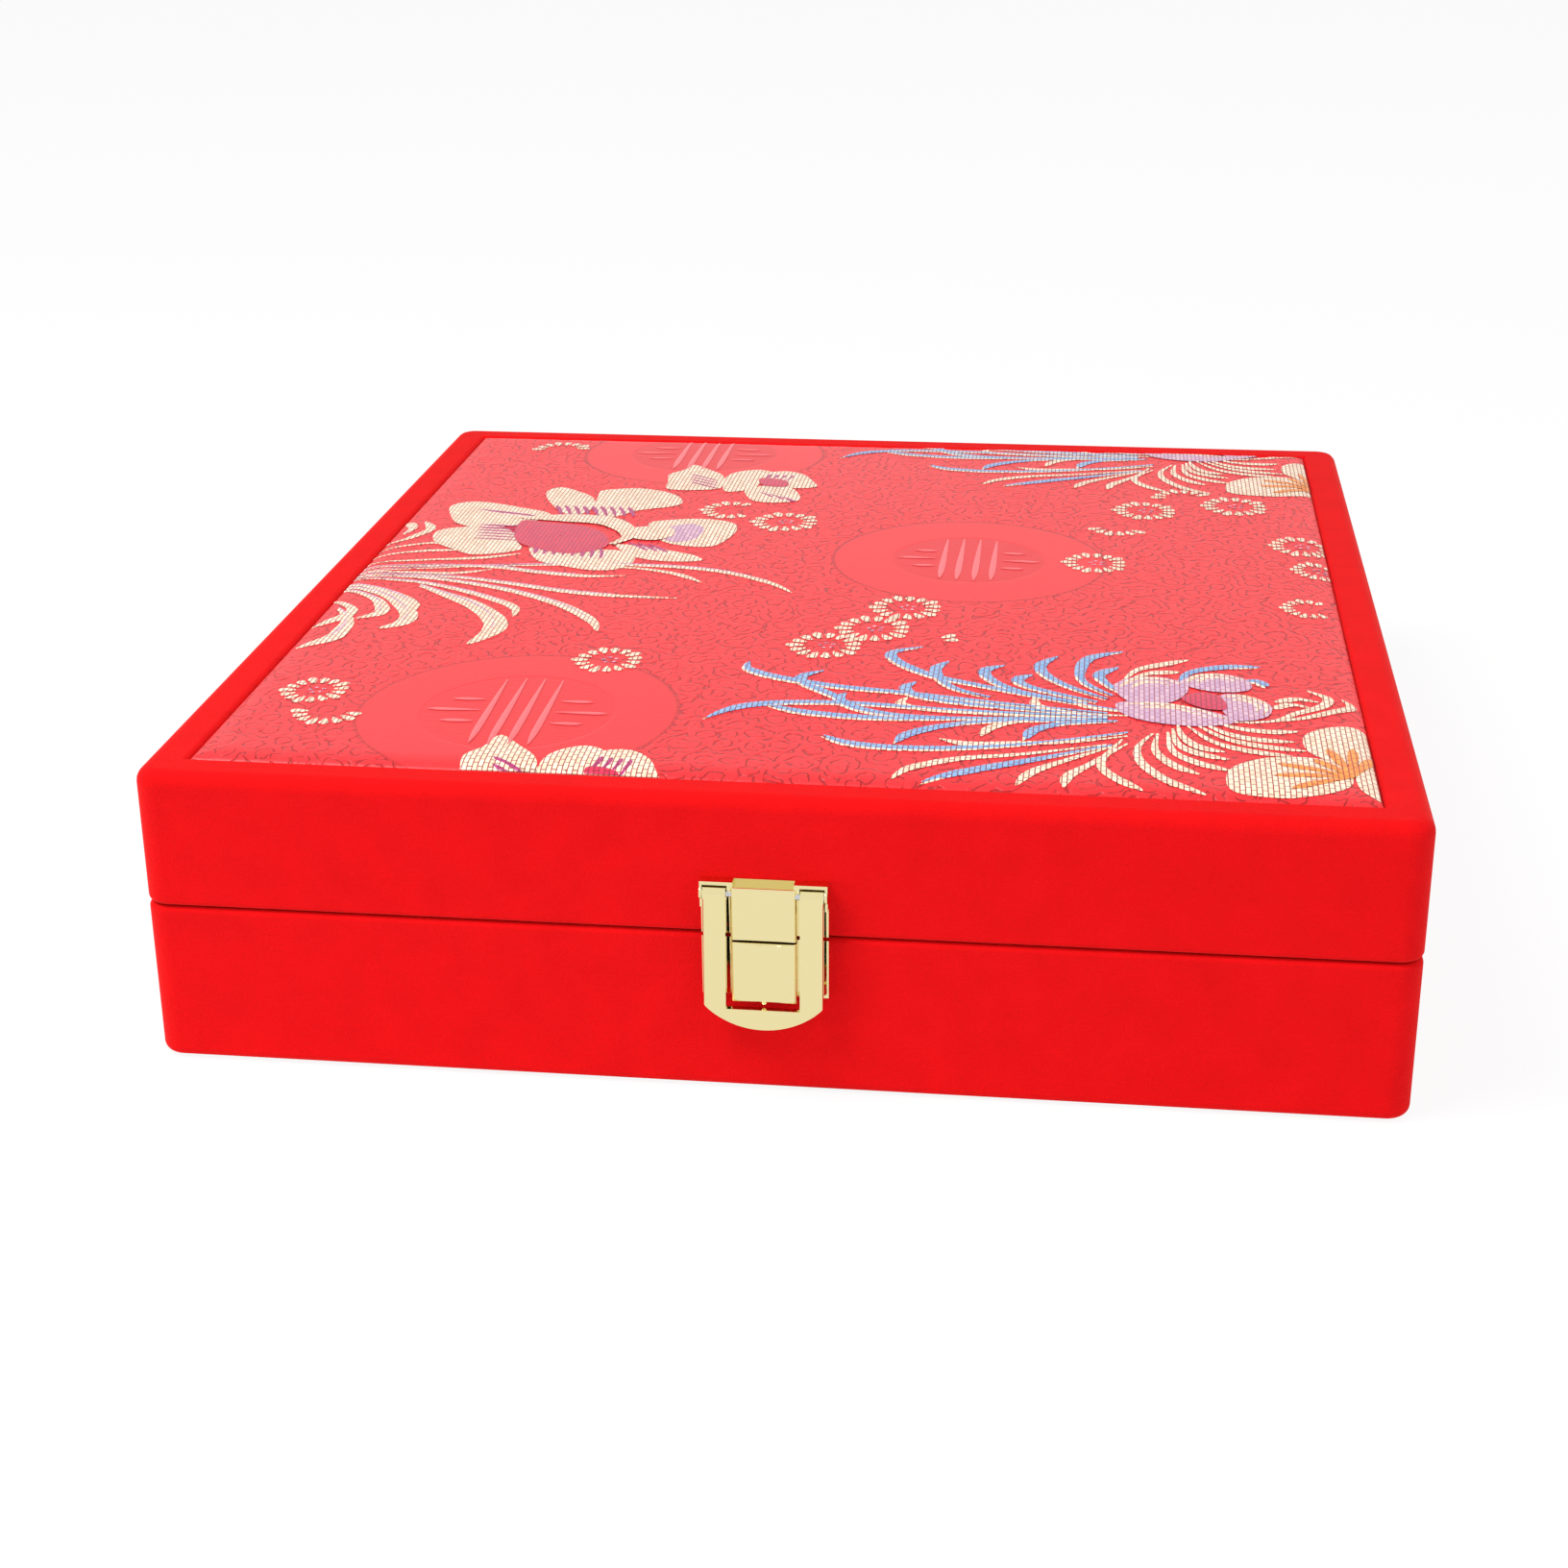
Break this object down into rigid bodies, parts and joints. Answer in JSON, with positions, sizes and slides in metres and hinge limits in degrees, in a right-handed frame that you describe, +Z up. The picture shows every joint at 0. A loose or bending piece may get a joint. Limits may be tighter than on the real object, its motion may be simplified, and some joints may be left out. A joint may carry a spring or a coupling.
{
  "type": "brocade presentation box",
  "caption": "Flat velvet-covered presentation box with a padded brocade lid, satin lining, a bail latch in front and stop hinges behind.",
  "frame": {"origin": "middle of the underside of the box", "axes": "+Z up, -Y towards the latch, +X to the right seen from the front"},
  "size_m": [0.25, 0.2805, 0.0653],
  "materials": {
    "red_velvet": "flocked",
    "brocade": "woven",
    "gold_satin": "satin",
    "foam": "soft",
    "fibreboard": "raw",
    "greyboard": "raw",
    "backing_paper": "matt",
    "gilt_metal": "polished",
    "pin_steel": "polished"
  },
  "bodies": {
    "base": {"base_bottom_board": "fibreboard", "base_front_wall": "fibreboard", "base_back_wall": "fibreboard", "base_left_wall": "fibreboard", "base_right_wall": "fibreboard", "base_velvet": "red_velvet", "base_paper": "backing_paper", "collar_front": "gold_satin", "collar_back": "gold_satin", "collar_left": "gold_satin", "collar_right": "gold_satin", "floor_cushion": "gold_satin", "catch_plate": "gilt_metal", "catch_fixings": "gilt_metal", "left_hinge_lower_leaf": "gilt_metal", "right_hinge_lower_leaf": "gilt_metal", "left_hinge_pin": "pin_steel", "right_hinge_pin": "pin_steel", "base_hinge_screws": "gilt_metal"},
    "lid": {"lid_top_board": "fibreboard", "lid_front_wall": "fibreboard", "lid_back_wall": "fibreboard", "lid_left_wall": "fibreboard", "lid_right_wall": "fibreboard", "rim_strip_front": "greyboard", "rim_strip_back": "greyboard", "rim_strip_left": "greyboard", "rim_strip_right": "greyboard", "lid_velvet": "red_velvet", "panel_card": "greyboard", "panel_foam": "foam", "brocade_cloth": "brocade", "lid_lining_front": "gold_satin", "lid_lining_back": "gold_satin", "lid_lining_left": "gold_satin", "lid_lining_right": "gold_satin", "ceiling_cushion": "gold_satin", "latch_plate": "gilt_metal", "latch_pin": "pin_steel", "latch_fixings": "gilt_metal", "left_hinge_upper_leaf": "gilt_metal", "right_hinge_upper_leaf": "gilt_metal", "lid_hinge_screws": "gilt_metal"},
    "bail": {"bail": "gilt_metal"}
  },
  "joints": [
    {"name": "lid_hinge", "type": "hinge", "parent": "base", "child": "lid", "pos_m": [0, 0.1369, 0.034], "axis": [-1, 0, 0], "range_deg": [0, 95]},
    {"name": "bail_hinge", "type": "hinge", "parent": "lid", "child": "bail", "pos_m": [0, -0.1371, 0.0435], "axis": [-1, 0, 0], "range_deg": [-3.2, 100]}
  ]
}
